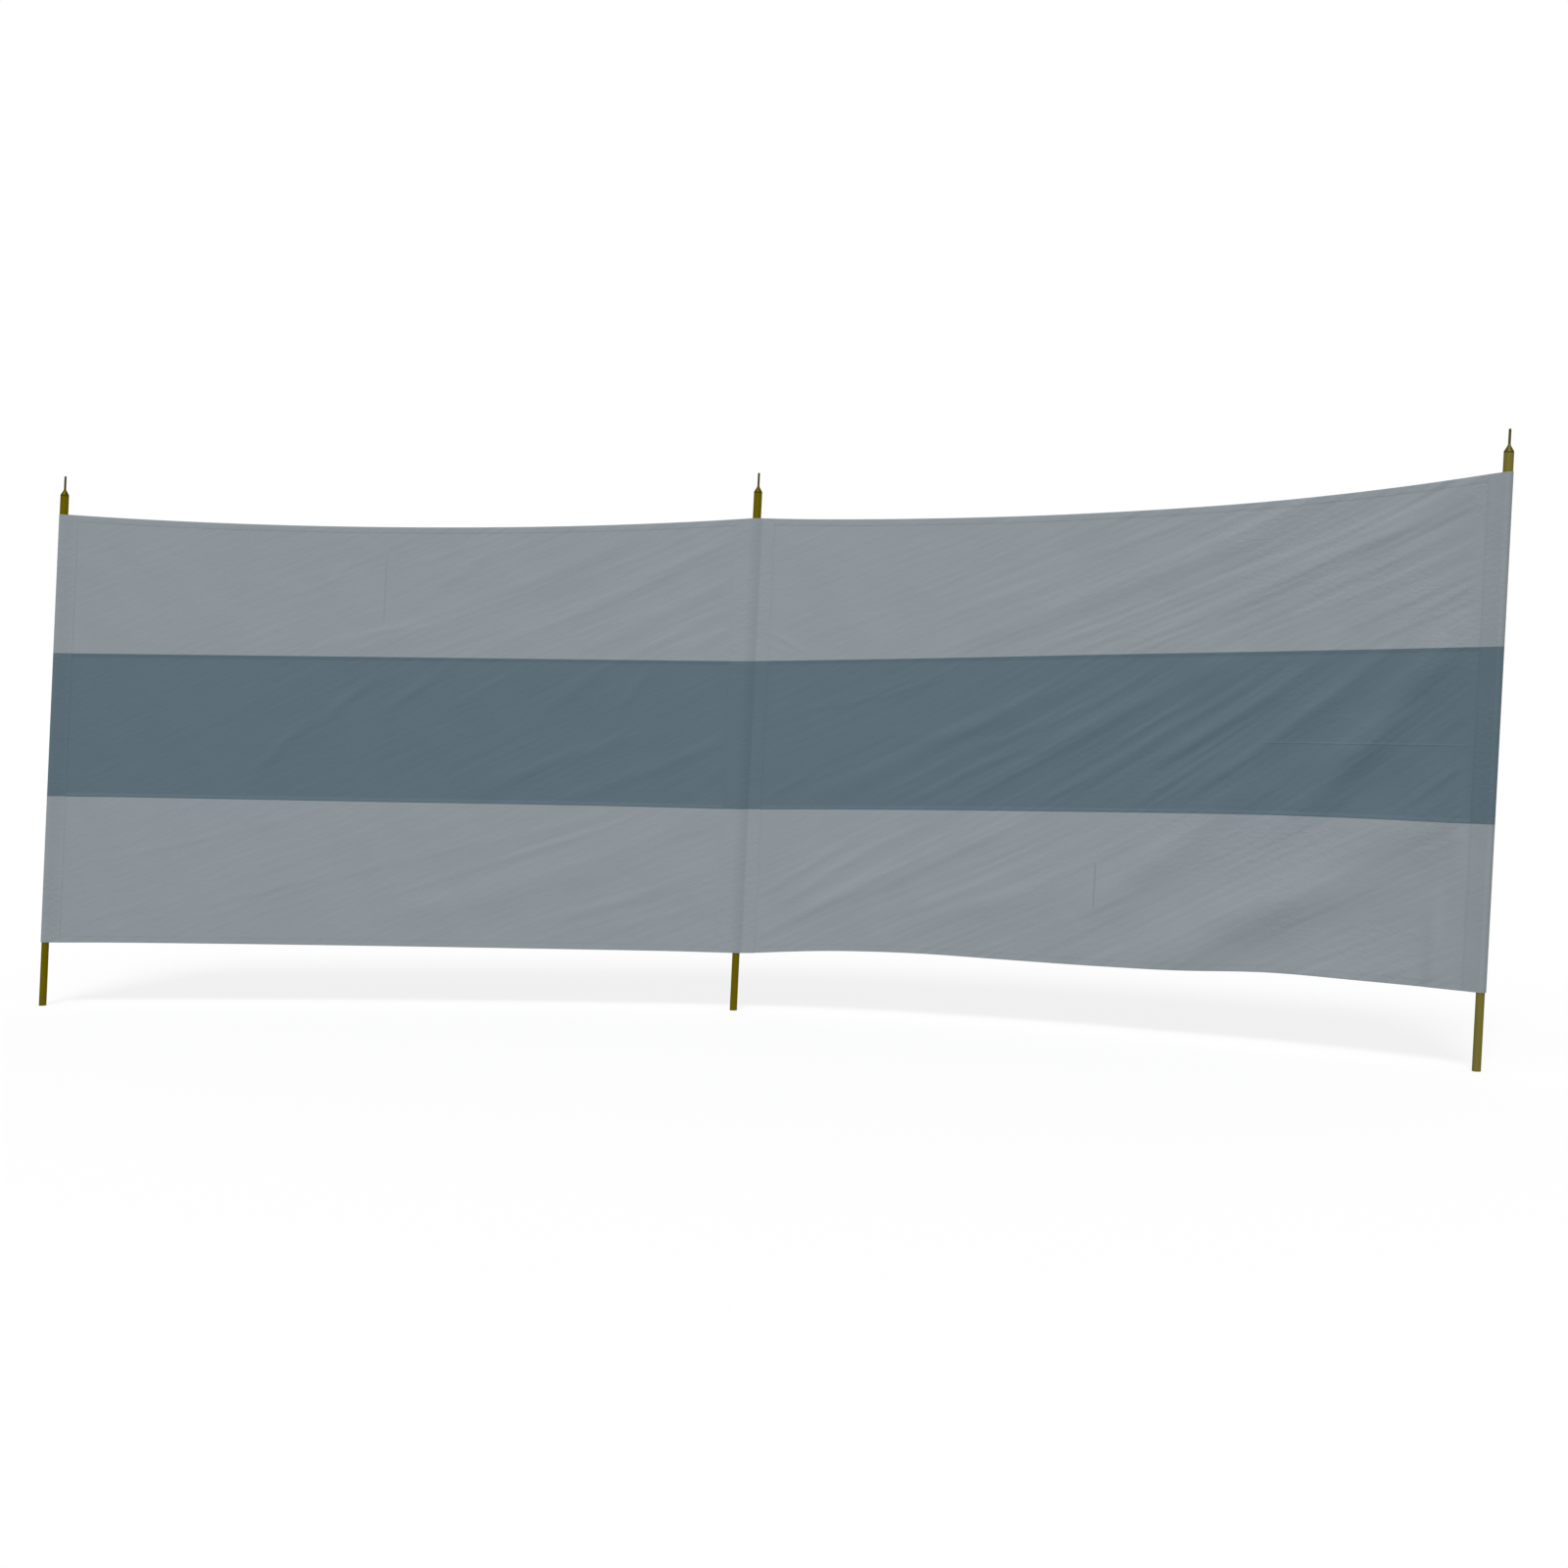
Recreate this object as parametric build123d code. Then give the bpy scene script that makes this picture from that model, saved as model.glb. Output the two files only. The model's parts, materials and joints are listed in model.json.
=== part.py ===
"""A two-bay beach windbreak: striped cloth on three steel poles.

Millimetres, +Z up, ground level at Z = 0. The origin is on the axis of the middle pole where it
enters the ground. +X runs along the windbreak, and the two end poles stand forward, at -Y.
The poles lean together, so everything is drawn upright, square to the poles, then leaned over.
"""
from build123d import *
from math import cos, sin, tan, radians
import os

# How the windbreak stands
pole_pitch = 1948.0          # from pole axis to pole axis
bay_turn = 12.0              # degrees that each bay turns forward from the X axis
lean = 2.85                  # degrees that all three poles lean towards +X

# Poles: a lower tube that slides into an upper one, with a plug in each end
pole_height = 1450.0         # ground to the top of the plug's shoulder, along the pole
lower_tube_diameter = 20.0
lower_tube_wall = 1.0
lower_tube_top = 760.0
upper_tube_diameter = 23.0
upper_tube_bottom = 640.0
telescope_gap = 0.3          # all round, between the two tubes
plug_gap = 0.15              # all round, between a plug's shank and its tube
plug_shank = 25.0
foot_plug_head = 5.0
shoulder_rim = 4.0           # straight part of the top plug's head
shoulder_height = 16.0       # whole head of the top plug, up to the foot of its pin
shoulder_round = 3.0
pin_radius = 3.0
pin_length = 41.0
pin_root_radius = 4.5
pin_root_height = 4.0

# Cloth
cloth_height = 1200.0
bottom_stripe_height = 397.0
middle_stripe_height = 408.0
cloth_thickness = 1.0
left_cloth_rise = 187.0      # ground to the lower corner of the cloth, along each pole
middle_cloth_rise = 162.0
right_cloth_rise = 182.0
left_billow = 35.0           # how far the wind pushes each bay back in its middle
right_billow = 110.0

# Rise of each edge of the cloth in the middle of its bay, above the line from pole to pole
left_edge_rise = {"bottom": 1.0, "lower_seam": 1.5, "upper_seam": -1.0, "top": -25.0}
right_edge_rise = {"bottom": 6.0, "lower_seam": 5.0, "upper_seam": 2.0, "top": -28.0}

# Hems and pole sleeves
hem_width = 18.0
hem_thickness = 2.2
sleeve_gap = 0.4             # between the upper tube and the sleeve
sleeve_reach = 34.0          # pole axis to the end of the sewn seam
sleeve_seam = 8.0            # width of the sewn seam
seam_gap = 0.2               # between a sleeve's seam and the edge of its bay

overrun = 200.0              # how far cutting tools run past what they cut

lower_tube_bore = lower_tube_diameter / 2 - lower_tube_wall
upper_tube_bore = lower_tube_diameter / 2 + telescope_gap
upper_tube_radius = upper_tube_diameter / 2
sleeve_radius = upper_tube_radius + sleeve_gap
ground_slope = tan(radians(lean))


def plan_point(turn):
    """The axis of an end pole in plan, from the direction of its bay."""
    return Vector(pole_pitch * cos(radians(turn)), pole_pitch * sin(radians(turn)), 0)


pole_axes = {
    "left": plan_point(180 + bay_turn),
    "middle": Vector(0, 0, 0),
    "right": plan_point(-bay_turn),
}
cloth_rises = {"left": left_cloth_rise, "middle": middle_cloth_rise, "right": right_cloth_rise}


def ground_at(side):
    """Height of the ground at a pole, while the windbreak is still drawn upright."""
    return pole_axes[side].X * ground_slope


def cloth_bottom(side):
    """Height of the cloth's lower corner at a pole, while it is still drawn upright."""
    return ground_at(side) + cloth_rises[side]


parts = {}


def lower_tube():
    """The tube that goes into the ground, open at the top."""
    length = lower_tube_top - foot_plug_head
    ring = Circle(lower_tube_diameter / 2) - Circle(lower_tube_bore)
    return Pos(0, 0, foot_plug_head) * extrude(ring, length)


def upper_tube():
    """The tube that slides over the lower one and ends under the top plug."""
    length = pole_height - shoulder_height - upper_tube_bottom
    ring = Circle(upper_tube_radius) - Circle(upper_tube_bore)
    return Pos(0, 0, upper_tube_bottom) * extrude(ring, length)


def foot_plug():
    """A round plug that closes the lower tube where it meets the ground."""
    head = Pos(0, 0, -plug_shank) * Cylinder(
        lower_tube_diameter / 2, foot_plug_head + plug_shank, align=(Align.CENTER, Align.CENTER, Align.MIN)
    )
    shank = Pos(0, 0, foot_plug_head) * Cylinder(
        lower_tube_bore - plug_gap, plug_shank, align=(Align.CENTER, Align.CENTER, Align.MIN)
    )
    return head + shank


def top_plug():
    """A plug with a sloping shoulder and a round pin for a line, pushed into the upper tube."""
    shank_radius = upper_tube_bore - plug_gap
    seat = pole_height - shoulder_height
    pin_top = pole_height + pin_length
    with BuildPart() as plug:
        with BuildSketch(Plane.XZ):
            with BuildLine():
                Polyline(
                    (0, seat - plug_shank),
                    (shank_radius, seat - plug_shank),
                    (shank_radius, seat),
                    (upper_tube_radius, seat),
                    (upper_tube_radius, seat + shoulder_rim),
                    (pin_root_radius, pole_height),
                    (pin_radius, pole_height + pin_root_height),
                    (pin_radius, pin_top - pin_radius),
                )
                RadiusArc((pin_radius, pin_top - pin_radius), (0, pin_top), -pin_radius)
                Line((0, pin_top), (0, seat - plug_shank))
            make_face()
        revolve(axis=Axis.Z)
        rim = plug.edges().filter_by(GeomType.CIRCLE).filter_by(
            lambda edge: abs(edge.center().Z - seat - shoulder_rim) < 0.01
        )
        fillet(rim, shoulder_round)
    return plug.part


def add_pole(side):
    """One pole, cut off level at the ground."""
    foot = pole_axes[side] + Vector(0, 0, ground_at(side))
    pieces = {
        "foot_plug": foot_plug(),
        "lower_tube": lower_tube(),
        "upper_tube": upper_tube(),
        "top_plug": top_plug(),
    }
    for name, piece in pieces.items():
        parts[f"{side}_{name}"] = Pos(*foot) * piece


class Bay:
    """One bay of cloth between two poles, as a shallow arc in plan."""

    def __init__(self, name, start, end, billow, edge_rise):
        self.name = name
        self.start = start
        self.end = end
        self.edge_rise = edge_rise
        first = pole_axes[start]
        last = pole_axes[end]
        chord = (last - first).normalized()
        back = Vector(-chord.Y, chord.X, 0)
        middle = (first + last) / 2 + back * billow
        self.arc = ThreePointArc(first, middle, last)
        self.chord_plane = Plane(origin=first, x_dir=chord, z_dir=-back)

    def seam_point(self, at_start, reach):
        """A point of the bay's plan line, by its distance from a pole's axis."""
        share = reach / self.arc.length
        return self.arc @ (share if at_start else 1 - share)

    def plan_strip(self, thickness):
        """The cloth in plan, from seam to seam."""
        reach = sleeve_reach + seam_gap
        centre = self.arc.arc_center
        ends = [self.seam_point(True, reach), self.arc @ 0.5, self.seam_point(False, reach)]
        rows = []
        for side in (-0.5, 0.5):
            rows.append([p + (p - centre).normalized() * thickness * side for p in ends])
        inner, outer = rows
        outline = [
            ThreePointArc(*inner),
            Line(inner[2], outer[2]),
            ThreePointArc(*outer[::-1]),
            Line(outer[0], inner[0]),
        ]
        return make_face(outline)

    def edge_line(self, height_above_bottom, rise):
        """The three control points of a stripe's edge, a shallow curve in the chord plane."""
        low = cloth_bottom(self.start) + height_above_bottom
        high = cloth_bottom(self.end) + height_above_bottom
        return [
            (0, low),
            (pole_pitch / 2, (low + high) / 2 + 2 * rise),
            (pole_pitch, high),
        ]

    def band(self, lower_edge, upper_edge, thickness):
        """The cloth between two edges, cut from one tall sheet."""
        outline = [
            Bezier(*lower_edge),
            Line(lower_edge[2], upper_edge[2]),
            Bezier(*upper_edge[::-1]),
            Line(upper_edge[0], lower_edge[0]),
        ]
        window = extrude(self.chord_plane * make_face(outline), overrun, both=True)
        low = min(lower_edge[0][1], lower_edge[2][1]) - overrun
        sheet = Pos(0, 0, low) * extrude(self.plan_strip(thickness), cloth_height + 3 * overrun)
        return sheet & window

    def add_cloth(self):
        """Three stripes between a lower and an upper hem."""
        lower_seam = bottom_stripe_height
        upper_seam = bottom_stripe_height + middle_stripe_height
        rise = self.edge_rise
        edges = [
            self.edge_line(0, rise["bottom"]),
            self.edge_line(hem_width, rise["bottom"]),
            self.edge_line(lower_seam, rise["lower_seam"]),
            self.edge_line(upper_seam, rise["upper_seam"]),
            self.edge_line(cloth_height - hem_width, rise["top"]),
            self.edge_line(cloth_height, rise["top"]),
        ]
        names = ["bottom_hem", "bottom_stripe", "middle_stripe", "top_stripe", "top_hem"]
        for name, lower, upper in zip(names, edges, edges[1:]):
            thickness = hem_thickness if name.endswith("hem") else cloth_thickness
            parts[f"{self.name}_bay_{name}"] = self.band(lower, upper, thickness)


left_bay = Bay("left", "left", "middle", left_billow, left_edge_rise)
right_bay = Bay("right", "middle", "right", right_billow, right_edge_rise)


def loop_outline(centre, seam_ends, radius, half_seam):
    """Cloth pulled tight round a pole and down to one or two seams."""
    outline = [Edge.make_circle(radius, Plane(centre))]
    for end in seam_ends:
        along = (end - centre).normalized()
        across = Vector(-along.Y, along.X, 0) * half_seam
        outline.append(Edge.make_line(end - across, end + across))
    return make_hull(outline)


def add_sleeve(side, seams):
    """The loop of striped cloth that holds a pole."""
    centre = pole_axes[side]
    outer_ends = []
    inner_ends = []
    for bay, at_start in seams:
        outer_ends.append(bay.seam_point(at_start, sleeve_reach))
        inner_ends.append(bay.seam_point(at_start, sleeve_reach - sleeve_seam))
    outer = loop_outline(centre, outer_ends, sleeve_radius + cloth_thickness, cloth_thickness)
    inner = loop_outline(centre, inner_ends, sleeve_radius, seam_gap)
    ring = outer - inner
    heights = {
        "bottom": bottom_stripe_height,
        "middle": middle_stripe_height,
        "top": cloth_height - bottom_stripe_height - middle_stripe_height,
    }
    level = cloth_bottom(side)
    for stripe, height in heights.items():
        parts[f"{side}_sleeve_{stripe}"] = Pos(0, 0, level) * extrude(ring, height)
        level += height


for pole in pole_axes:
    add_pole(pole)

for bay in (left_bay, right_bay):
    bay.add_cloth()

add_sleeve("left", [(left_bay, True)])
add_sleeve("middle", [(left_bay, False), (right_bay, True)])
add_sleeve("right", [(right_bay, False)])

above_ground = Box(
    4 * pole_pitch, 4 * pole_pitch, 4 * pole_height, align=(Align.CENTER, Align.CENTER, Align.MIN)
)

os.makedirs("parts", exist_ok=True)
for node, piece in parts.items():
    leaned = piece.rotate(Axis.Y, lean)
    if node.endswith("foot_plug"):
        leaned = leaned & above_ground
    export_step(leaned, f"parts/{node}.step")
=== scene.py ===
"""A two-bay beach windbreak: striped cloth sewn round three slim steel poles.

Metres, +Z up, ground at Z = 0. The poles lean together towards +X, the end poles stand forward.
"""
import bmesh
import bpy
import json
from math import pi, radians, sin
import numpy as np
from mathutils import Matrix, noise


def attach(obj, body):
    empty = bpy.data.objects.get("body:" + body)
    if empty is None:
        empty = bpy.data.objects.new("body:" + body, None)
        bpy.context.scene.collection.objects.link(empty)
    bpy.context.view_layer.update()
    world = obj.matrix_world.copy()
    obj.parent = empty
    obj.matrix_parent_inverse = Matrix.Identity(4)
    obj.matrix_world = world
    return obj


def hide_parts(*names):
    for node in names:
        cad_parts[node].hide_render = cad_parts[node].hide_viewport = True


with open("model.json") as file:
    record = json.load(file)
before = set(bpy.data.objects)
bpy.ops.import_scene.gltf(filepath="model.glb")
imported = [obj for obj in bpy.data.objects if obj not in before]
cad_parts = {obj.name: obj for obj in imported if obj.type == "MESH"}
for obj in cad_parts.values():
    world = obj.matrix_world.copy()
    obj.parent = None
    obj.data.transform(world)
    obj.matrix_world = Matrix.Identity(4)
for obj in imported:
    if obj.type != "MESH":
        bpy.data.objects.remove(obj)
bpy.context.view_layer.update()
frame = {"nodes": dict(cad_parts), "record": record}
scene = bpy.context.scene


# Poles. Two steel tubes each, one pushed into the other, with a plug in each end. They are zinc
# plated and passivated to an olive gold, which is rubbed paler where sand and sleeve slide on it.
sides = ("left", "middle", "right")
pole_pieces = ("foot_plug", "lower_tube", "upper_tube", "top_plug")
plated_gold = (0.122, 0.094, 0.001)
rubbed_gold = (0.165, 0.130, 0.006)
worn_gold = (0.200, 0.182, 0.062)
glancing_gold = (0.45, 0.38, 0.12)      # colour of its shine at a low angle
plated_roughness = 0.50
plated_metal = 0.75
# The top plugs' plating is painted darker than the tubes': painted shade that holds down the lamp's
# highlight on their cones.
plug_brightness = 0.5        # of the top plugs' plating, against that of the tubes
worn_from = 1.2              # the right-hand pole, past this X, is the most worn
worn_over = 0.2


class Value:
    """A number that a material works out over the surface. Sums and products of it are nodes."""

    def __init__(self, tree, socket=None):
        self.tree = tree
        self.socket = socket

    def node(self, kind, settings, output=None, **inputs):
        """Adds a node: its settings, then its inputs by name, or by number after an underscore.

        It gives the output that is named, or else the first one in use.
        """
        node = self.tree.nodes.new(kind)
        for name, value in settings.items():
            setattr(node, name, value)
        for name, value in inputs.items():
            key = int(name[1:]) if name[0] == "_" else name
            if isinstance(value, Value):
                self.tree.links.new(value.socket, node.inputs[key])
            else:
                node.inputs[key].default_value = value
        if output is None:
            return Value(self.tree, next(socket for socket in node.outputs if socket.enabled))
        return Value(self.tree, node.outputs[output])

    def maths(self, operation, *terms):
        inputs = {f"_{number}": term for number, term in enumerate(terms)}
        return self.node("ShaderNodeMath", {"operation": operation}, **inputs)

    def __add__(self, other):
        return self.maths("ADD", self, other)

    def __sub__(self, other):
        return self.maths("SUBTRACT", self, other)

    def __rsub__(self, other):
        return self.maths("SUBTRACT", other, self)

    def __mul__(self, other):
        return self.maths("MULTIPLY", self, other)

    def __abs__(self):
        return self.maths("ABSOLUTE", self)

    __radd__ = __add__
    __rmul__ = __mul__

    def larger(self, other):
        return self.maths("MAXIMUM", self, other)

    def coordinate(self, axis):
        """One of the three numbers of this place."""
        return self.node("ShaderNodeSeparateXYZ", {}, axis, _0=self)

    def rising(self, low, high):
        """0 up to low, 1 from high on, and a smooth step between them."""
        settings = {"interpolation_type": "SMOOTHSTEP"}
        return self.node("ShaderNodeMapRange", settings, Value=self, _1=low, _2=high)

    def line(self, middle, half_width):
        """1 on a line where this equals middle, and 0 beyond its edges."""
        return 1 - abs(self - middle).rising(0.0, half_width)

    def noise(self, scale, turn=0.0, detail=3.0, roughness=0.5):
        """Noise at this place: scale is how many features a metre holds each way."""
        turned = self.node("ShaderNodeMapping", {}, Vector=self, Rotation=(0, 0, turn))
        mapped = self.node("ShaderNodeMapping", {}, Vector=turned, Scale=scale)
        inputs = {"Vector": mapped, "Scale": 1.0, "Detail": detail, "Roughness": roughness}
        return self.node("ShaderNodeTexNoise", {"noise_dimensions": "3D"}, **inputs)

    def blend(self, first, second):
        """The first colour where this is 0, the second where it is 1."""
        first, second = (c if isinstance(c, Value) else (*c, 1) for c in (first, second))
        return self.node("ShaderNodeMix", {"data_type": "RGBA"}, _0=self, _6=first, _7=second)


class Finish:
    """A material that is being made, with the coordinates that its patterns follow."""

    def __init__(self, name, coordinates):
        self.material = bpy.data.materials.new(name)
        self.material.use_nodes = True
        self.tree = self.material.node_tree
        self.shader = self.tree.nodes["Principled BSDF"]
        self.start = Value(self.tree)
        self.place = self.start.node("ShaderNodeTexCoord", {}, coordinates)

    def set(self, name, value):
        """Gives one of the shader's sockets a value, or links it to one."""
        if isinstance(value, Value):
            self.tree.links.new(value.socket, self.shader.inputs[name])
        else:
            self.shader.inputs[name].default_value = value

    def raised(self, height):
        """Bump from a height in metres."""
        bump = height.node("ShaderNodeBump", {}, Height=height, Distance=1.0, Strength=1.0)
        self.set("Normal", bump)


def plated_steel(name, brightness):
    """The plating of a tube, or of a plug at a share of its brightness: painted shade on the plug.
    """
    finish = Finish(name, "Object")
    golds = (plated_gold, rubbed_gold, worn_gold)
    fresh, pale, bare = ([channel * brightness for channel in gold] for gold in golds)
    cloudy = finish.place.noise((24, 24, 9), detail=4.0, roughness=0.6).rising(0.35, 0.7)
    rubbed = finish.place.noise((420, 420, 5)).rising(0.5, 0.75)
    worn = finish.place.coordinate(0).rising(worn_from, worn_from + worn_over)
    plating = (cloudy * 0.25 + rubbed * 0.2).blend(fresh, pale)
    finish.set("Base Color", (worn * 0.5).blend(plating, bare))
    finish.set("Roughness", rubbed * 0.12 - cloudy * 0.06 + plated_roughness)
    finish.set("Metallic", plated_metal)
    finish.set("Specular IOR Level", 0.05)
    finish.set("Specular Tint", (*glancing_gold, 1))
    finish.raised(finish.place.noise((900, 900, 30)) * 0.00003)
    return finish.material


plated = plated_steel("plated_steel", 1.0)
# A darker copy of the plating for the top plugs, painted in shade.
plug_plating_shaded = plated_steel("dull_plated_steel", plug_brightness)
for side in sides:
    for piece in pole_pieces:
        for slot in frame["nodes"][f"{side}_{piece}"].material_slots:
            slot.material = plug_plating_shaded if piece == "top_plug" else plated


# Where the cloth hangs. The record's mounts give the poles, and the solids of the sleeves and the
# stripes give the corners of each bay, how far the wind pushes it back and how its edges curve.
stripes = ("bottom", "middle", "top")
cloth_thickness = 0.0003
middle_band = 0.04           # share of the pitch, each way, that counts as a bay's middle

# A pole stands in the middle of the bays' thickness, so its sleeve holds them this far forward,
# which fades out this far from the pole.
held_forward = 0.0105
held_reach = 0.12

# How far the wind lifts the lower edge, the two seams and the upper edge off those curves, in
# millimetres, at even steps from the left-hand end of each bay to its right-hand end.
edge_lifts = {
    "left": [
        (-8, -8.5, -8, -6, -2),
        (7, 3, 0.5, 0.5, -0.5),
        (1.5, 2.5, 3, 2.5, 2),
        (-4, -4, -3, -1.5, 2.5),
    ],
    "right": [
        (-2, 7, 6.5, -1, -6, -4.5, 5.5, 3.5, 1.5),
        (-0.5, -2, -2, 0, -5),
        (2, 1.5, 2, 0.5, -1),
        (2.5, 6, 6, 4, 8),
    ],
}

mounts = {mount["name"]: mount for mount in frame["record"]["mounts"]}
pole_way = np.array(mounts["middle_pole_pin"]["axis"])
pole_way /= np.linalg.norm(pole_way)
pole_feet = {side: np.array(mounts[f"{side}_pole_foot"]["pos_m"]) for side in sides}


def points_of(node):
    """The corners of a solid, as rows of X, Y and Z."""
    vertices = frame["nodes"][node].data.vertices
    points = np.empty(3 * len(vertices), dtype=np.float32)
    vertices.foreach_get("co", points)
    return points.reshape(-1, 3).astype(float)


def levels_on(side):
    """Heights on a pole of the lower edge, the two seams and the upper edge of the cloth."""
    sleeves = [points_of(f"{side}_sleeve_{stripe}") for stripe in stripes]
    spans = [(sleeve - pole_feet[side]) @ pole_way for sleeve in sleeves]
    return np.array([spans[0].min(), *(span.max() for span in spans)])


def through(values, share):
    """A smooth line through evenly spaced values."""
    values = np.pad(np.array(values, dtype=float), 1, mode="reflect", reflect_type="odd")
    place = np.clip(share, 0, 1) * (len(values) - 3)
    whole = np.clip(place.astype(int), 0, len(values) - 4)
    part = place - whole
    first, here, there, last = (values[whole + step] for step in range(4))
    bend = 2 * first - 5 * here + 4 * there - last + part * (3 * (here - there) + last - first)
    return here + part / 2 * (there - first + part * bend)


class Bay:
    """One bay of cloth. A place on it is its share of the way from seam to seam and its height."""

    def __init__(self, name, start, end):
        self.name = name
        self.start = start
        self.end = end
        lowest = levels_on(start)[0]
        across = pole_feet[end] - pole_feet[start]
        self.chord = across - pole_way * (across @ pole_way)
        self.pitch = np.linalg.norm(self.chord)
        self.chord /= self.pitch
        self.back = np.cross(pole_way, self.chord)
        self.corner = pole_feet[start] + pole_way * lowest
        far_corner = pole_feet[end] + pole_way * levels_on(end)[0]
        self.slope = (far_corner - self.corner) @ pole_way / self.pitch
        self.levels = levels_on(start) - lowest
        self.stripe_middles = (self.levels[:-1] + self.levels[1:]) / 2
        self.measure()
        self.length = self.pitch - 2 * self.reach

    def measure(self):
        """Reads how the solids of the bay stand off the plane between its poles."""
        self.rises = []
        depths = []
        reaches = []
        edges = (
            ("bottom_hem", np.min),
            ("bottom_stripe", np.max),
            ("middle_stripe", np.max),
            ("top_hem", np.max),
        )
        for (piece, pick), level in zip(edges, self.levels):
            offsets = points_of(f"{self.name}_bay_{piece}") - self.corner
            along = offsets @ self.chord
            up = offsets @ pole_way - self.slope * along
            middle = abs(along / self.pitch - 0.5) < middle_band
            self.rises.append(pick(up[middle]) - level)
            depths.append((offsets @ self.back).max())
            reaches.append(along.min())
        self.billow = min(depths)
        self.reach = min(reaches)

    def lift(self, share, height):
        """How far the wind lifts a place off the even curves of the edges."""
        lifts = 0
        for values, near in zip(edge_lifts[self.name], np.eye(len(self.levels))):
            lifts = lifts + through(values, share) * np.interp(height, self.levels, near)
        return lifts / 1000

    def hang(self, share, height):
        """The smooth hang of the cloth, without its folds."""
        share, height = np.broadcast_arrays(share, height)
        along = self.reach + share * self.length
        bow = 4 * along / self.pitch * (1 - along / self.pitch)
        up = height + self.slope * along + np.interp(height, self.levels, self.rises) * bow
        up = up + self.lift(share, height)
        from_poles = along, self.pitch - along
        held = sum(np.exp(-(distance / held_reach) ** 2) for distance in from_poles)
        out = self.billow * bow - held_forward * held
        steps = (along, self.chord), (up, pole_way), (out, self.back)
        return self.corner + sum(step[..., None] * way for step, way in steps)


bays = [Bay("left", "left", "middle"), Bay("right", "middle", "right")]


# Folds. Each bay is cut square and the poles hold it a little out of square, so the cloth pulls
# into long folds that rise to the right, with finer ones between them.

# For the bottom, the middle and the top stripe: the share of their height that the long folds keep,
# how high the fine ones are, and the slope of the fine ones at the left end with how fast it grows.
fold_depth = {"left": (0.65, 0.90, 0.62), "right": (0.86, 0.92, 0.70)}
fine_fold = {"left": (0.0004, 0.0005, 0.0004), "right": (0.0008, 0.0013, 0.0010)}
fine_slopes = {
    "left": ((0.28, 0.02), (0.45, 0.03), (0.32, 0.02)),
    "right": ((0.42, 0.03), (0.35, 0.13), (0.33, 0.02)),
}
fine_run = 1.6               # noise features in a metre along the fine folds
fine_pitch = 34              # and across them
finer = 2.3                  # how many times smaller their second layer is
wander = 0.007               # how far the paths of the long folds stray
uneven = 0.6                 # how much their height varies
path_steps = 12              # straight runs that make up a path
crest = 0.3                  # share of a fold's width over which its crest is round
flat_at_seam = 0.012         # the cloth is flat up to here from a sleeve's seam
full_from_seam = 0.045       # and fully folded from here on


def ripple(along, height, layer):
    """Smooth noise over the cloth, with features about 1 in size and values to about half."""
    along, height = np.broadcast_arrays(along, height)
    values = [noise.noise((x, y, layer)) for x, y in zip(along.flat, height.flat)]
    return np.reshape(values, along.shape)


def fold(along, height, start, middle, end, depth, width):
    """A fold that stands proud along a path through three places, and runs out at both ends."""
    start, middle, end = (np.array(place) for place in (start, middle, end))
    steps = np.linspace(0, 1, path_steps + 1)[:, None]
    control = 2 * middle - (start + end) / 2
    curve = (1 - steps) ** 2 * start + 2 * steps * (1 - steps) * control + steps ** 2 * end
    nearest = np.full(np.broadcast(along, height).shape, np.inf)
    where = np.zeros(nearest.shape)
    for number, (first, last) in enumerate(zip(curve, curve[1:])):
        run = last - first
        share = ((along - first[0]) * run[0] + (height - first[1]) * run[1]) / (run @ run)
        share = np.clip(share, 0, 1)
        gap = np.hypot(along - first[0] - share * run[0], height - first[1] - share * run[1])
        closer = gap < nearest
        nearest = np.where(closer, gap, nearest)
        where = np.where(closer, (number + share) / path_steps, where)
    run_out = np.sin(pi * (0.04 + 0.92 * where)) ** 0.7
    pinched = np.sqrt((nearest / width * 1000) ** 2 + crest ** 2) - crest
    return depth / 1000 * run_out * np.exp(-pinched ** 1.5 * 1.3)


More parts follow.
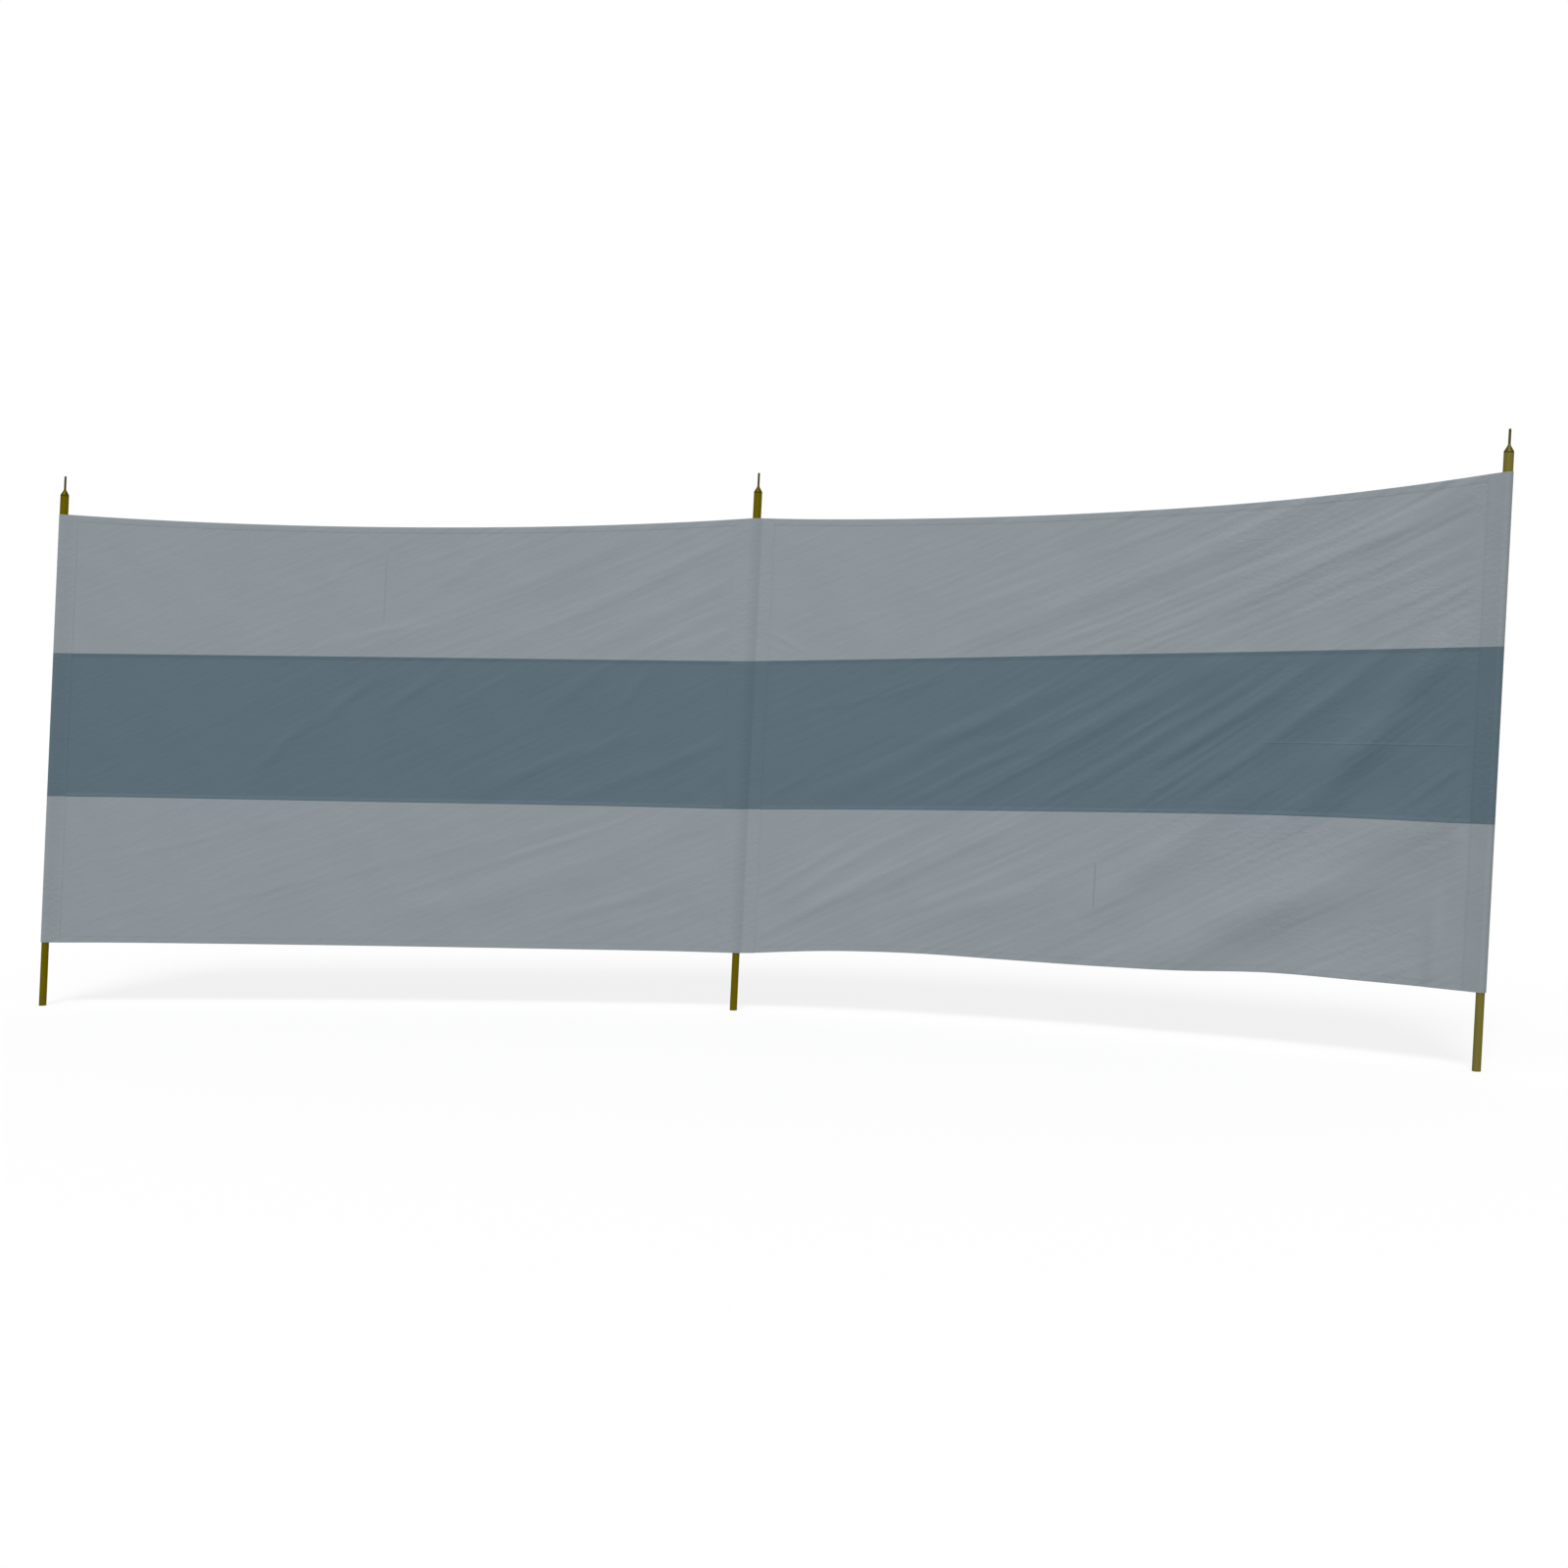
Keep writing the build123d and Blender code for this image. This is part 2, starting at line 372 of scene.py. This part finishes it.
# Each fold is the start, middle and end of its path, in metres along the bay and up the cloth, then
# its height and its width in millimetres.
main_folds = {
    "left": [
        ((0.78, 0.83), (1.16, 0.97), (1.60, 1.18), 2.2, 32),
        ((1.14, 0.82), (1.47, 0.96), (1.95, 1.20), 1.5, 20),
        ((1.40, 0.82), (1.64, 0.93), (1.95, 1.08), 1.5, 20),
        ((1.58, 0.82), (1.74, 0.90), (1.95, 0.98), 0.7, 10),
        ((1.72, 0.83), (1.84, 0.88), (1.95, 0.92), 0.9, 12),
        ((1.56, 1.03), (1.72, 1.09), (1.90, 1.17), 0.5, 8),
        ((0.72, 1.02), (0.75, 1.06), (0.80, 1.10), 0.8, 14),
        ((0.96, 0.96), (1.07, 1.05), (1.20, 1.15), 0.9, 15),
        ((0.68, 0.82), (0.82, 0.87), (1.02, 0.90), 0.6, 8),
        ((0.58, 0.70), (0.64, 0.73), (0.70, 0.77), 0.5, 10),
        ((0.53, 0.47), (0.60, 0.55), (0.68, 0.62), 1.4, 16),
        ((0.71, 0.61), (0.78, 0.68), (0.88, 0.76), 1.3, 13),
        ((0.89, 0.65), (0.98, 0.72), (1.10, 0.80), 1.3, 13),
        ((1.07, 0.66), (1.18, 0.72), (1.33, 0.80), 0.9, 10),
        ((1.34, 0.66), (1.42, 0.72), (1.55, 0.81), 1.8, 19),
        ((1.56, 0.66), (1.59, 0.72), (1.64, 0.79), 1.2, 16),
        ((1.15, 0.42), (1.35, 0.51), (1.60, 0.59), 1.5, 20),
        ((1.38, 0.41), (1.62, 0.49), (1.93, 0.62), 1.4, 16),
        ((0.10, 0.22), (0.45, 0.30), (0.80, 0.38), 0.4, 10),
        ((0.30, 0.09), (0.85, 0.21), (1.60, 0.39), 0.6, 12),
        ((0.85, 0.12), (1.20, 0.23), (1.60, 0.36), 0.6, 9),
        ((0.95, 0.09), (1.38, 0.20), (1.82, 0.37), 2.2, 38),
        ((1.38, 0.08), (1.62, 0.15), (1.94, 0.27), 1.2, 14),
        ((1.50, 0.05), (1.70, 0.10), (1.88, 0.16), 0.6, 12),
        ((0.00, 0.05), (0.25, 0.10), (0.50, 0.15), 0.3, 9),
    ],
    "right": [
        ((0.53, 0.92), (0.69, 0.97), (0.87, 1.05), 1.8, 36),
        ((0.52, 0.84), (1.05, 1.02), (1.48, 1.20), 3.8, 34),
        ((0.78, 0.83), (1.25, 1.00), (1.78, 1.16), 1.1, 13),
        ((1.03, 0.83), (1.47, 1.02), (2.00, 1.23), 3.6, 28),
        ((1.22, 0.83), (1.52, 0.97), (1.98, 1.14), 1.3, 14),
        ((1.34, 0.83), (1.60, 0.94), (1.98, 1.10), 1.3, 14),
        ((1.48, 0.83), (1.71, 0.92), (1.98, 1.04), 1.3, 13),
        ((1.62, 0.83), (1.78, 0.91), (1.98, 1.01), 1.2, 12),
        ((1.30, 0.98), (1.55, 1.06), (1.85, 1.13), 0.8, 10),
        ((0.72, 0.82), (0.95, 0.88), (1.20, 0.94), 0.6, 8),
        ((0.85, 0.82), (1.00, 0.86), (1.15, 0.91), 0.5, 7),
        ((0.14, 0.67), (0.36, 0.71), (0.60, 0.79), 0.7, 8),
        ((0.20, 0.69), (0.40, 0.74), (0.56, 0.79), 0.6, 8),
        ((0.46, 0.58), (0.70, 0.66), (0.95, 0.79), 2.8, 22),
        ((0.58, 0.56), (0.88, 0.66), (1.10, 0.79), 1.0, 11),
        ((0.18, 0.44), (0.34, 0.50), (0.50, 0.58), 1.8, 26),
        ((0.58, 0.42), (0.93, 0.62), (1.32, 0.80), 3.1, 22),
        ((1.00, 0.58), (1.18, 0.68), (1.36, 0.79), 1.1, 8),
        ((1.02, 0.55), (1.22, 0.66), (1.43, 0.79), 1.2, 9),
        ((1.10, 0.53), (1.31, 0.65), (1.54, 0.83), 3.0, 17),
        ((1.17, 0.45), (1.44, 0.62), (1.70, 0.84), 4.4, 22),
        ((1.32, 0.41), (1.42, 0.49), (1.52, 0.57), 1.4, 14),
        ((1.44, 0.39), (1.64, 0.60), (1.81, 0.84), 11.0, 42),
        ((1.73, 0.43), (1.80, 0.50), (1.89, 0.55), 2.8, 20),
        ((0.34, 0.43), (0.48, 0.50), (0.66, 0.58), 0.9, 9),
        ((0.42, 0.42), (0.62, 0.51), (0.84, 0.60), 0.9, 9),
        ((0.02, 0.42), (0.10, 0.47), (0.20, 0.52), 0.7, 10),
        ((0.78, 0.42), (0.95, 0.50), (1.12, 0.60), 1.0, 10),
        ((1.04, 0.41), (1.16, 0.49), (1.28, 0.56), 1.0, 10),
        ((0.01, 0.04), (0.29, 0.19), (0.60, 0.37), 0.7, 8),
        ((0.05, 0.05), (0.36, 0.21), (0.68, 0.39), 0.8, 9),
        ((0.08, 0.13), (0.27, 0.25), (0.48, 0.37), 0.9, 12),
        ((0.00, 0.14), (0.16, 0.24), (0.34, 0.35), 0.7, 10),
        ((0.18, 0.11), (0.48, 0.25), (0.80, 0.40), 1.9, 26),
        ((0.36, 0.10), (0.66, 0.20), (0.98, 0.36), 1.1, 14),
        ((0.46, 0.09), (0.78, 0.20), (1.13, 0.37), 1.3, 16),
        ((0.50, 0.11), (0.72, 0.16), (0.94, 0.22), 2.0, 40),
        ((0.90, 0.13), (1.10, 0.27), (1.33, 0.47), 5.0, 42),
        ((1.02, -0.03), (1.45, 0.20), (1.90, 0.47), 8.5, 72),
        ((0.00, 0.90), (0.06, 0.86), (0.13, 0.82), 0.6, 6),
        ((0.00, 0.86), (0.04, 0.84), (0.08, 0.82), 0.4, 5),
        ((1.80, 0.00), (1.80, 0.12), (1.81, 0.26), 4.0, 16),
        ((1.30, -0.02), (1.60, 0.00), (1.89, 0.02), 3.4, 50),
    ],
}


def fine_folds(bay, along, height):
    """Fine folds that run at their own slope in each stripe, weakest towards the upper left."""
    total = 0
    for number, (slope, growth) in enumerate(fine_slopes[bay.name]):
        across = height - slope * along - growth * along ** 2
        broad = ripple(along * fine_run, across * fine_pitch, 1.7 + number)
        narrow = ripple(along * fine_run * finer, across * fine_pitch * finer, 5.9 + number)
        near = np.interp(height, bay.stripe_middles, np.eye(3)[number])
        near = np.clip((near - 0.5) * 4 + 0.5, 0, 1)
        ridges = 0.4 - np.sqrt(broad ** 2 + 0.004) + 0.5 * narrow
        total = total + ridges * near * fine_fold[bay.name][number]
    return total * np.clip(0.55 + along / 1.2 - 0.5 * height, 0.25, 1)


def stray(along, height, layer):
    """How far the paths of the long folds stray at a place."""
    broad = ripple(along * 5, height * 7, layer)
    narrow = ripple(along * 16, height * 22, layer)
    return wander * broad + 0.3 * wander * narrow


def lie(bay, share, height, proud=0.0):
    """Places of the folded cloth, or of a layer that stands proud of it."""
    along = share * bay.length
    front = fine_folds(bay, along, height)
    sideways, upwards = (stray(along, height, layer) for layer in (8.3, 9.9))
    depth = np.interp(height, bay.stripe_middles, fold_depth[bay.name])
    depth = depth * (1 + uneven * ripple(along * 4, height * 9, 4.4))
    for shape in main_folds[bay.name]:
        front = front + fold(along + sideways, height + upwards, *shape) * depth
    from_seam = np.minimum(share, 1 - share) * bay.length
    fade = np.clip((from_seam - flat_at_seam) / (full_from_seam - flat_at_seam), 0, 1)
    front = front * fade * fade * (3 - 2 * fade) + proud
    return bay.hang(share, height) - front[..., None] * bay.back


# Stripes. Light plain-woven polyester, dyed grey and slate blue. The long edges of the grey
# stripes lie behind those of the blue one in lapped seams with two rows of stitching.
grey_dye = (0.262, 0.296, 0.319)
blue_dye = (0.094, 0.141, 0.173)
dyes = {"bottom": "grey", "middle": "blue", "top": "grey"}
column_width = 0.005         # of the mesh
row_height = 0.005
lap = 0.006                  # how far two stripes lie over each other
lap_step = 0.00035           # how far the blue one stands proud there
lap_slope = 0.0015           # and over how much cloth it comes back
tuck = 0.006                 # how far the cloth reaches into a sleeve's seam or a hem
# Painted shade: the cloth's colour is darkened where the pole behind it would stop light coming
# through the thin cloth.
shadow_behind = 0.13         # how much darker the cloth looks with the pole right behind it
thread_pitch = 0.00055
stitch_pitch = 0.0032
stitch_rows = (0.002, 0.0045)           # from a sewn edge
pattern_shift = {"left": 0.0, "right": 2.5, "sleeves": 5.5}

# Sharp creases left by its packing: which way they run, their place, where they begin and end, and
# how deep they are.
packing_creases = (
    ("up", 0.877, 0.89, 1.15, 0.0009),
    ("up", 3.448, 0.135, 0.285, 0.0014),
    ("along", 0.577, 3.80, 4.42, 0.0004),
)


def woven(name, dye):
    """Plain weave with stitched edges, the small crumples of thin cloth and a few creases."""
    finish = Finish(name, "UV")
    sewn = finish.start.node("ShaderNodeUVMap", {"uv_map": "sewn"}, "UV")
    painted_shade = finish.start.node("ShaderNodeAttribute", {"attribute_name": "painted_shade"}, "Fac")
    x, y = finish.place.coordinate(0), finish.place.coordinate(1)
    from_edge = sewn.coordinate(1)
    dashes = (sewn.coordinate(0) * (2 * pi / stitch_pitch)).maths("SINE").rising(-0.7, -0.3)
    rows = sum(from_edge.line(distance, 0.0006) for distance in stitch_rows)
    pulled_in = sum(from_edge.line(distance, 0.0020) for distance in stitch_rows)
    clouding = finish.place.noise((5, 9, 1), turn=0.5, detail=4.0).rising(0.3, 0.7)
    # Painted shade darkens the colour: where the pole or a second layer stands behind the thin
    # cloth, in the puckers of the stitch rows, and in a thin line along each sewn edge.
    shade = painted_shade * shadow_behind + rows * dashes * 0.08 + from_edge.line(0.0, 0.0015) * 0.07
    plain = clouding.blend([c * 0.985 for c in dye], [c * 1.015 for c in dye])
    finish.set("Base Color", shade.blend(plain, (0, 0, 0)))
    finish.set("Roughness", 0.62)
    finish.set("Specular IOR Level", 0.3)
    drawn = finish.place.noise((7, 70, 1), turn=-0.45, detail=2.0)
    crumples = finish.place.noise((60, 90, 1), detail=4.0, roughness=0.6)
    crumpled = finish.place.noise((2.5, 4, 1), turn=0.6).rising(0.42, 0.62) * x.rising(2.9, 4.0)
    warp, weft = ((axis * (2 * pi / thread_pitch)).maths("SINE") for axis in (x, y))
    creases = 0
    for way, place, low, high, depth in packing_creases:
        across, lengthways = (x, y) if way == "up" else (y, x)
        reach = lengthways.line((low + high) / 2, (high - low) / 2).rising(0.0, 0.3)
        creases = across.line(place, 0.003) * reach * depth + creases
    finish.raised(drawn * 0.0005 + crumples * (crumpled * 0.0009 + 0.00015) + warp * weft * 0.00002
                  + rows * dashes * 0.00015 - pulled_in * 0.00008 + creases)
    return finish.material


materials = {"grey": woven("grey_polyester", grey_dye), "blue": woven("blue_polyester", blue_dye)}


def cloth_piece(name, points, cut, sewn, painted_shade, dye, nodes, thickness=cloth_thickness):
    """A piece of cloth that stands for its CAD nodes. Its UV maps are its cut and its sewn edge."""
    rows, columns = points.shape[:2]
    bm = bmesh.new()
    bmesh.ops.create_grid(bm, x_segments=columns - 1, y_segments=rows - 1, size=1)
    for face in bm.faces:
        face.smooth = True
    for edge in bm.edges:
        edge.smooth = not edge.is_boundary
    mesh = bpy.data.meshes.new(name)
    bm.to_mesh(mesh)
    bm.free()
    corners = np.empty(3 * len(mesh.vertices), dtype=np.float32)
    mesh.vertices.foreach_get("co", corners)
    corners = corners.reshape(-1, 3)
    column = np.rint((corners[:, 0] + 1) / 2 * (columns - 1)).astype(int)
    row = np.rint((corners[:, 1] + 1) / 2 * (rows - 1)).astype(int)
    mesh.vertices.foreach_set("co", points[row, column].astype(np.float32).reshape(-1))
    ends = np.empty(len(mesh.loops), dtype=np.int32)
    mesh.loops.foreach_get("vertex_index", ends)
    for title, table in (("cut", cut), ("sewn", sewn)):
        table = np.stack(np.broadcast_arrays(*table), axis=-1)
        table = table[row, column][ends].astype(np.float32)
        mesh.uv_layers.new(name=title).data.foreach_set("uv", table.reshape(-1))
    # Each point's share of painted shade, by which the cloth's material darkens its colour.
    darkness = np.broadcast_to(painted_shade, (rows, columns))[row, column].astype(np.float32)
    mesh.attributes.new("painted_shade", "FLOAT", "POINT").data.foreach_set("value", darkness)
    mesh.materials.append(materials[dye])
    mesh.update()
    piece = bpy.data.objects.new(name, mesh)
    scene.collection.objects.link(piece)
    shell = piece.modifiers.new("thickness", "SOLIDIFY")
    shell.thickness = thickness
    shell.offset = 0
    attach(piece, "root")
    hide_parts(*nodes)
    return piece


def even_steps(low, high, step):
    return np.linspace(low, high, max(2, round((high - low) / step) + 1))


def across_bay(bay):
    """Shares from inside one sleeve's seam to inside the other's."""
    inside = tuck / bay.length
    return even_steps(-inside, 1 + inside, column_width / bay.length)[None, :]


hem = 0.018                  # width of the hems
stripe_ends = {"bottom": (0, 1), "middle": (1, 2), "top": (2, 3)}
for bay in bays:
    share = across_bay(bay)
    along = share * bay.length
    for stripe in stripes:
        low, high = (bay.levels[number] for number in stripe_ends[stripe])
        if stripe == "middle":
            edge = np.array([0, lap, lap + lap_slope])
            between = even_steps(low + edge[-1], high - edge[-1], row_height)[1:-1]
            height = np.concatenate([low + edge, between, high - edge[::-1]])[:, None]
        elif stripe == "bottom":
            height = even_steps(low + hem - tuck, high + lap, row_height)[:, None]
        else:
            height = even_steps(low - lap, high - hem + tuck, row_height)[:, None]
        from_edge = np.minimum(height - height[0], height[-1] - height)
        proud = 0.0
        if stripe == "middle":
            proud = lap_step * np.clip((lap + lap_slope - from_edge) / lap_slope, 0, 1)
        points = lie(bay, share, height, proud)
        cut = (along + pattern_shift[bay.name], height)
        name = f"{bay.name}_{dyes[stripe]}_{stripe}_cloth"
        piece = cloth_piece(name, points, cut, (along, from_edge), 0.0, dyes[stripe],
                            [f"{bay.name}_bay_{stripe}_stripe"])


# Hems. The lower and the upper edge of each bay are turned over twice and sewn down, so they are
# folded strips with the stripe's raw edge inside.
hem_layer = 0.00025          # thickness of each layer of the folded strip
hem_half = 0.0003            # from the middle of the hem to the middle of a layer


def hem_profile(turn_up):
    """Heights above or below the fold and depths in front of the cloth, round one folded strip."""
    turns = np.linspace(pi / 2, 3 * pi / 2, 9)
    straight = np.linspace(hem, hem_half, 6)[:-1]
    up = np.concatenate([straight, hem_half + hem_half * np.cos(turns), straight[::-1]])
    layer = np.full(len(straight), hem_half)
    front = np.concatenate([layer, hem_half * np.sin(turns), -layer])
    return (up * turn_up)[::-turn_up], front[::-turn_up]


for bay in bays:
    share = across_bay(bay)
    along = share * bay.length
    for edge, level, turn_up in (("bottom", bay.levels[0], 1), ("top", bay.levels[-1], -1)):
        up, front = hem_profile(turn_up)
        points = lie(bay, share, (level + up)[:, None], front[:, None])
        girth = np.concatenate([[0], np.cumsum(np.hypot(np.diff(up), np.diff(front)))])[:, None]
        from_edge = np.minimum(girth, girth[-1] - girth)
        cut = (along + pattern_shift[bay.name], level + turn_up * (hem - from_edge))
        name = f"{bay.name}_{edge}_folded_hem"
        piece = cloth_piece(name, points, cut, (along, from_edge), 0.0, "grey",
                            [f"{bay.name}_bay_{edge}_hem"], hem_layer)


# Sleeves. Strips of the same cloth round each pole, with the edges of the bays sewn in between
# their two layers.
sleeve_radius = 0.0124       # round the pole
sleeve_lip = 0.00055         # from the middle of a bay's edge to the layer in front of it
sleeve_overlap = 0.006       # how far a strip reaches past the bend at its seam
seam_bend = {"left": 0.003, "middle": 0.016, "right": 0.003}
hidden_stitch = {"left": 0.01, "middle": 0.01, "right": 0.0}    # moves the stitching off the strip
sleeve_row = 0.008
plan_x = np.array([pole_way[2], 0, -pole_way[0]])
plan_y = np.array([0.0, 1.0, 0.0])


def to_the_pole(side, bay, share, hand):
    """Half of a sleeve's strip in plan: from its edge on the bay to where it touches the pole."""
    step = 0.01 / bay.length * (-1 if share else 1)
    offsets = [bay.hang(share + moved, 0.0) - pole_feet[side] for moved in (0, step)]
    seam, beyond = (np.array([offset @ plan_x, offset @ plan_y]) for offset in offsets)
    way = (beyond - seam) / np.linalg.norm(beyond - seam)
    corner = seam + np.array([-way[1], way[0]]) * hand * sleeve_lip
    tangent = np.arccos(sleeve_radius / np.linalg.norm(corner))
    turn = np.arctan2(corner[1], corner[0]) + hand * tangent
    touch = sleeve_radius * np.array([np.cos(turn), np.sin(turn)])
    pull = (touch - corner) / np.linalg.norm(touch - corner)
    bend = seam_bend[side]
    steps = np.linspace(0, 1, 7)[:, None]
    first, last = corner + way * bend, corner + pull * bend
    curve = (1 - steps) ** 2 * first + 2 * steps * (1 - steps) * corner + steps ** 2 * last
    edge = corner + way * (bend + sleeve_overlap)
    return np.concatenate([[edge, (edge + first) / 2], curve, [(last + touch) / 2]]), turn


def strip_path(side, first, last):
    """A strip from one bay round the pole to another, as points in plan, anticlockwise."""
    opening, start_turn = to_the_pole(side, *first, 1)
    closing, end_turn = to_the_pole(side, *last, -1)
    if end_turn <= start_turn:
        end_turn += 2 * pi
    turns = even_steps(start_turn, end_turn, 0.14)
    arc = sleeve_radius * np.stack([np.cos(turns), np.sin(turns)], axis=-1)
    return np.concatenate([opening, arc, closing[::-1]])


left_bay, right_bay = bays
sleeve_seams = {
    "left": [(left_bay, 0.0)],
    "middle": [(left_bay, 1.0), (right_bay, 0.0)],
    "right": [(right_bay, 1.0)],
}

# How much painted shade darkens the doubled cloth across each sleeve, against 1 with the pole right
# behind it: the second layer and the pole would stop light coming through the thin cloth, and the
# right sleeve's outer side, where it curves round the pole, is painted darker still as shade.
# Places in plan from the pole's axis, and the darkness at each.
sleeve_shades = {
    "left": ((-0.012, 0.028, 0.040), (0.35, 0.40, 0.05)),
    "middle": ((-0.018, -0.006, 0.012, 0.0165, 0.0185), (0.0, 0.35, 0.85, 0.85, 0.0)),
    "right": ((-0.030, 0.0, 0.008, 0.012), (0.25, 0.5, 0.8, 1.8)),
}


def sleeve_rise(side, across, height):
    """How far a sleeve stands above square to the pole, so that it meets the edges of its bays."""
    bay, share = sleeve_seams[side][0]
    at_pole = bay.lift(np.array(share), height)
    rises = []
    for bay, share in sleeve_seams[side]:
        seam = bay.hang(np.array(share), height) - pole_feet[side]
        above = seam @ pole_way - levels_on(side)[0] - height - at_pole
        reach = seam @ plan_x
        rises.append(at_pole + above * across / reach)
    return np.where(across < 0, rises[0], rises[-1])


for number, (side, sewn) in enumerate(sleeve_seams.items()):
    if side == "middle":
        paths = {"_front": strip_path(side, *sewn), "_back": strip_path(side, *sewn[::-1])}
    else:
        paths = {"": strip_path(side, sewn[0], sewn[0])}
    levels = levels_on(side)
    for stripe in stripes:
        low, high = (levels[level] for level in stripe_ends[stripe])
        height = even_steps(low, high, sleeve_row)[:, None]
        for layer, path in paths.items():
            risen = height + sleeve_rise(side, path[None, :, 0], height - levels[0])
            points = (pole_feet[side] + path[None, :, :1] * plan_x + path[None, :, 1:] * plan_y
                      + risen[..., None] * pole_way)
            steps = np.linalg.norm(np.diff(path, axis=0), axis=1)
            girth = np.concatenate([[0], np.cumsum(steps)])[None, :]
            from_edge = np.minimum(girth, girth[:, -1:] - girth) + hidden_stitch[side]
            # Painted shade across the strip, from the table above.
            painted_shade = np.interp(path[:, 0], *sleeve_shades[side])[None, :]
            cut = (girth + pattern_shift["sleeves"] + 0.3 * number, height)
            name = f"{side}_{dyes[stripe]}_{stripe}_sleeve{layer}"
            piece = cloth_piece(name, points, cut, (height, from_edge), painted_shade, dyes[stripe],
                                [f"{side}_sleeve_{stripe}"])


# Studio. A pale floor under a plain white surround, a broad soft lamp high in front and a little to
# the right, an even fill, and the camera where it stood for the photograph: low and level.
camera_place = (1.446, -5.084, 0.865)
camera_turn = 14.35          # degrees to the left
focal_length = 43.7          # millimetres, for this width of film
film_width = 36.0
lens_drop = -0.0546          # share of the picture
floor_radius = 60
floor_grey = 0.15
fill_strength = 0.85
lamp_strength = 2.45
lamp_height = 58             # degrees above the floor
lamp_turn = 6                # degrees to the right of straight in front
lamp_spread = 18             # degrees that the lamp seems wide

bm = bmesh.new()
bmesh.ops.create_circle(bm, cap_ends=True, segments=96, radius=floor_radius)
floor_mesh = bpy.data.meshes.new("floor")
bm.to_mesh(floor_mesh)
bm.free()
floor = bpy.data.objects.new("floor", floor_mesh)
scene.collection.objects.link(floor)


def seen_straight(tree):
    """1 for rays that reach the eye straight or by a mirror or glass, 0 for light on the cloth."""
    start = Value(tree)
    kinds = ("Is Camera Ray", "Is Glossy Ray", "Is Transmission Ray")
    straight, mirrored, passed = (start.node("ShaderNodeLightPath", {}, kind) for kind in kinds)
    return straight.larger(mirrored).larger(passed)


# The floor glows by just as much as it lacks of white, for rays that go straight to the eye.
floor_glow = 1 - floor_grey * (fill_strength + lamp_strength * sin(radians(lamp_height)) / pi)
floor_finish = Finish("pale_floor", "Object")
floor_finish.set("Base Color", (floor_grey, floor_grey, floor_grey, 1))
floor_finish.set("Roughness", 0.9)
floor_finish.set("Specular IOR Level", 0.0)
glow = seen_straight(floor_finish.tree).blend((0, 0, 0), [floor_glow] * 3)
floor_finish.set("Emission Color", glow)
floor_finish.set("Emission Strength", 1.0)
floor_mesh.materials.append(floor_finish.material)

world = bpy.data.worlds.new("surround")
scene.world = world
world.use_nodes = True
background = world.node_tree.nodes["Background"]
background.inputs["Color"].default_value = (1, 1, 1, 1)
strength = seen_straight(world.node_tree) * (1 - fill_strength) + fill_strength
world.node_tree.links.new(strength.socket, background.inputs["Strength"])

lamp_data = bpy.data.lights.new("lamp", "SUN")
lamp_data.energy = lamp_strength
lamp_data.angle = radians(lamp_spread)
lamp = bpy.data.objects.new("lamp", lamp_data)
lamp.rotation_euler = (radians(90 - lamp_height), 0, radians(lamp_turn))
scene.collection.objects.link(lamp)

camera_data = bpy.data.cameras.new("camera")
camera_data.lens = focal_length
camera_data.sensor_width = film_width
camera_data.shift_y = lens_drop
camera = bpy.data.objects.new("camera", camera_data)
camera.location = camera_place
camera.rotation_euler = (pi / 2, 0, radians(camera_turn))
scene.collection.objects.link(camera)
scene.camera = camera
scene.view_settings.view_transform = "Standard"
